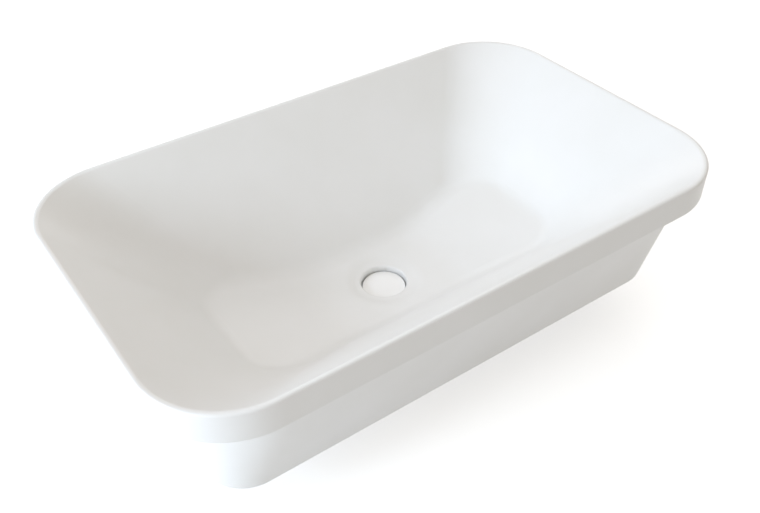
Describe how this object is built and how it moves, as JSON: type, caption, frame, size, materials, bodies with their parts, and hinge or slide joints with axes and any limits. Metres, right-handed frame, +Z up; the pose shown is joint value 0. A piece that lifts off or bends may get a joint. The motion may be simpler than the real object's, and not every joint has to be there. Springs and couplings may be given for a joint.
{
  "type": "washbasin",
  "caption": "Rectangular semi-inset ceramic washbasin with round corners, a collar that rests on the worktop, a ramped bowl and a press-to-open waste.",
  "frame": {"origin": "on the drain axis, in the plane of the ledge that rests on the worktop", "axes": "+X along the long side, +Y across it towards the wall side, +Z up, out of the bowl"},
  "size_m": [0.608, 0.37, 0.2013],
  "materials": {
    "white_glaze": "satin",
    "chromed_brass": "polished",
    "turned_brass": "satin",
    "black_rubber": "matte",
    "white_acetal": "satin",
    "red_fibre": "matte",
    "stainless_steel": "satin"
  },
  "bodies": {
    "basin": {"ceramic_basin": "white_glaze", "waste_body": "chromed_brass", "flange_gasket": "black_rubber", "tapered_seal": "black_rubber", "slip_washer": "white_acetal", "lock_nut": "turned_brass", "cartridge_sleeve": "chromed_brass", "cartridge_washer": "red_fibre", "cartridge_jam_nut": "turned_brass", "guide_bush": "white_acetal", "return_spring": "stainless_steel", "spring_plug": "turned_brass"},
    "plug": {"plug_cap": "white_glaze", "plug_seal": "black_rubber", "plug_carrier": "turned_brass", "plunger": "turned_brass", "rotor_clip": "stainless_steel"},
    "rotor": {"ratchet_rotor": "white_acetal"}
  },
  "joints": [
    {"name": "plug_lift", "type": "slide", "parent": "basin", "child": "plug", "axis": [0, 0, 1], "range_m": [0, 0.009], "deforming": ["return_spring"]},
    {"name": "rotor_turn", "type": "hinge", "parent": "plug", "child": "rotor", "pos_m": [0, 0, -0.1468], "axis": [0, 0, 1], "range_deg": [0, 45]}
  ],
  "couplings": [
    {"joint": "rotor_turn", "follows": "plug_lift", "rad_per_m": 87.26}
  ]
}
